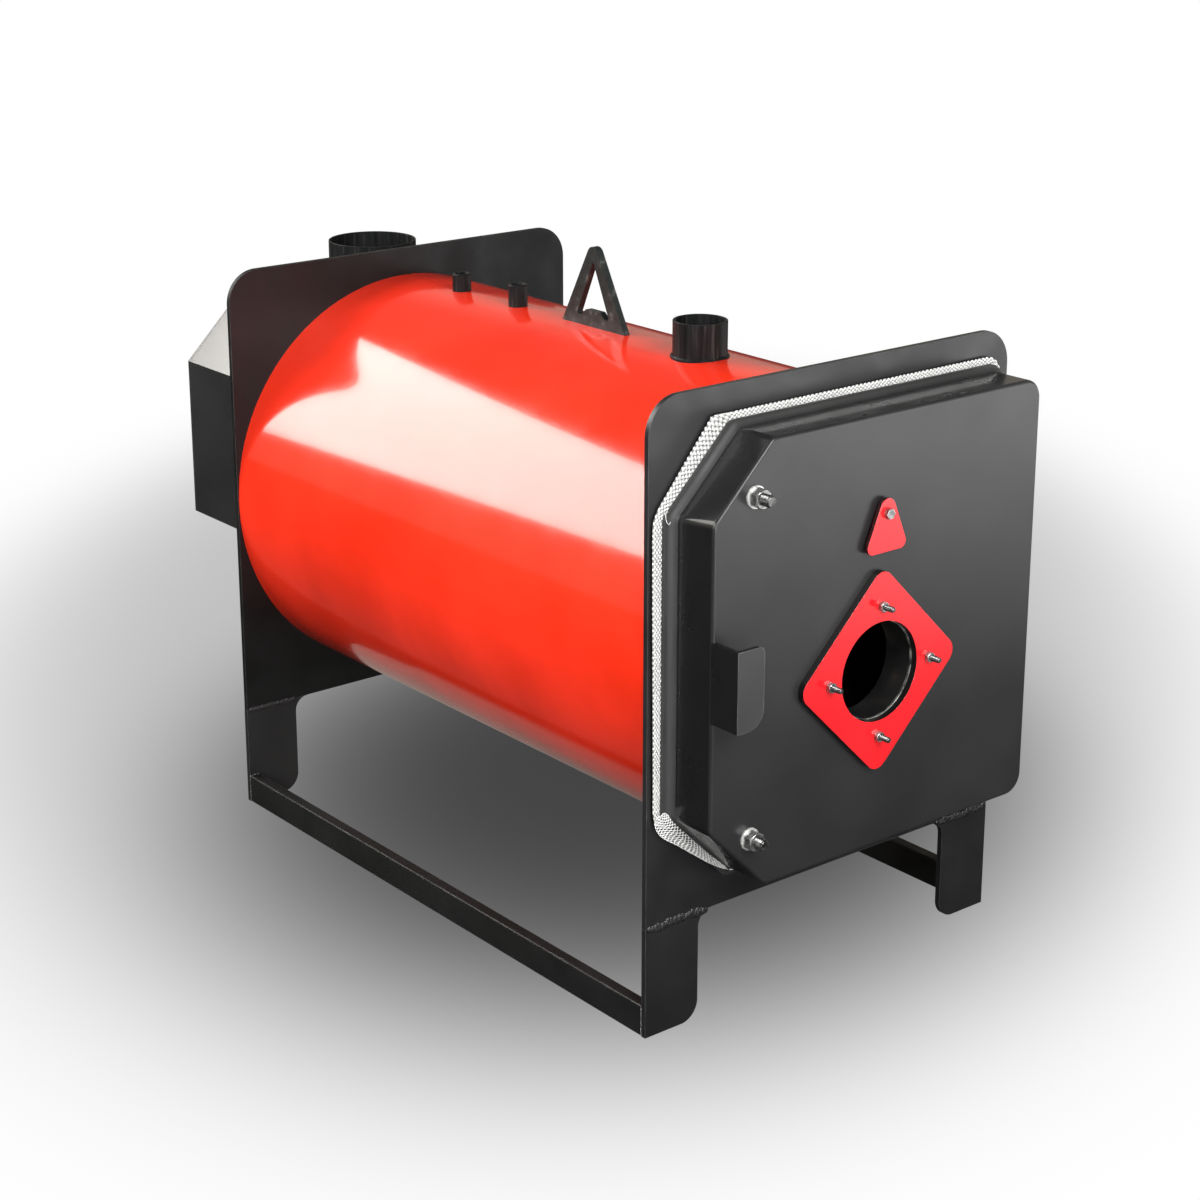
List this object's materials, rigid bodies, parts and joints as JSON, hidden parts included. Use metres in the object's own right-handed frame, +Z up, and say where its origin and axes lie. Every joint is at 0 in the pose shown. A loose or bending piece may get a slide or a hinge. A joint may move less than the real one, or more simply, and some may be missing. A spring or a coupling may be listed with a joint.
{
  "type": "industrial boiler",
  "caption": "Horizontal round steel hot-water boiler on welded legs, with a hinged burner door, a rear smoke box, pipe stubs on top and a lifting lug.",
  "frame": {"origin": "on the floor under the middle of the overall length, on the boiler's centre plane", "axes": "+X to the right of someone facing the burner door, +Y from the door to the smoke box, +Z up"},
  "size_m": [0.64, 1.28, 0.934],
  "materials": {
    "shell_paint": "gloss",
    "black_paint": "satin",
    "door_paint": "satin",
    "skirt_paint": "gloss",
    "fire_scale": "matte",
    "bare_steel": "satin",
    "zinc": "satin",
    "rope": "matte",
    "refractory": "matte",
    "sight_glass": "gloss"
  },
  "bodies": {
    "boiler": {"shell": "shell_paint", "front_plate": "black_paint", "rear_plate": "black_paint", "front_left_leg": "black_paint", "front_right_leg": "black_paint", "rear_left_leg": "black_paint", "rear_right_leg": "black_paint", "left_runner": "black_paint", "right_runner": "black_paint", "furnace_tube": "fire_scale", "furnace_end": "fire_scale", "smoke_tubes": "fire_scale", "smoke_box": "black_paint", "smoke_box_back": "black_paint", "flue_pipe": "black_paint", "flow_pipe": "black_paint", "return_pipe": "black_paint", "gauge_socket": "bare_steel", "safety_socket": "bare_steel", "lifting_lug": "black_paint", "hinge_ears": "black_paint", "hinge_pins": "zinc"},
    "door": {"door_plate": "door_paint", "door_skirt": "skirt_paint", "door_flange": "black_paint", "door_insulation": "refractory", "door_gasket": "rope", "burner_tunnel": "fire_scale", "burner_plate": "shell_paint", "burner_studs": "zinc", "burner_nuts": "zinc", "door_screws": "zinc", "door_washers": "zinc", "door_nuts": "zinc", "door_handle": "black_paint", "door_knuckles": "black_paint", "sight_glass": "sight_glass", "cover_bolt": "zinc"},
    "sight_flap": {"sight_cover": "shell_paint"}
  },
  "joints": [
    {"name": "door_hinge", "type": "hinge", "parent": "boiler", "child": "door", "pos_m": [0.312, -0.554, 0.5], "axis": [0, 0, 1], "range_deg": [0, 120]},
    {"name": "sight_cover_pivot", "type": "hinge", "parent": "door", "child": "sight_flap", "pos_m": [0.005, -0.6015, 0.676], "axis": [0, 1, 0], "range_deg": [-110, 110]}
  ]
}
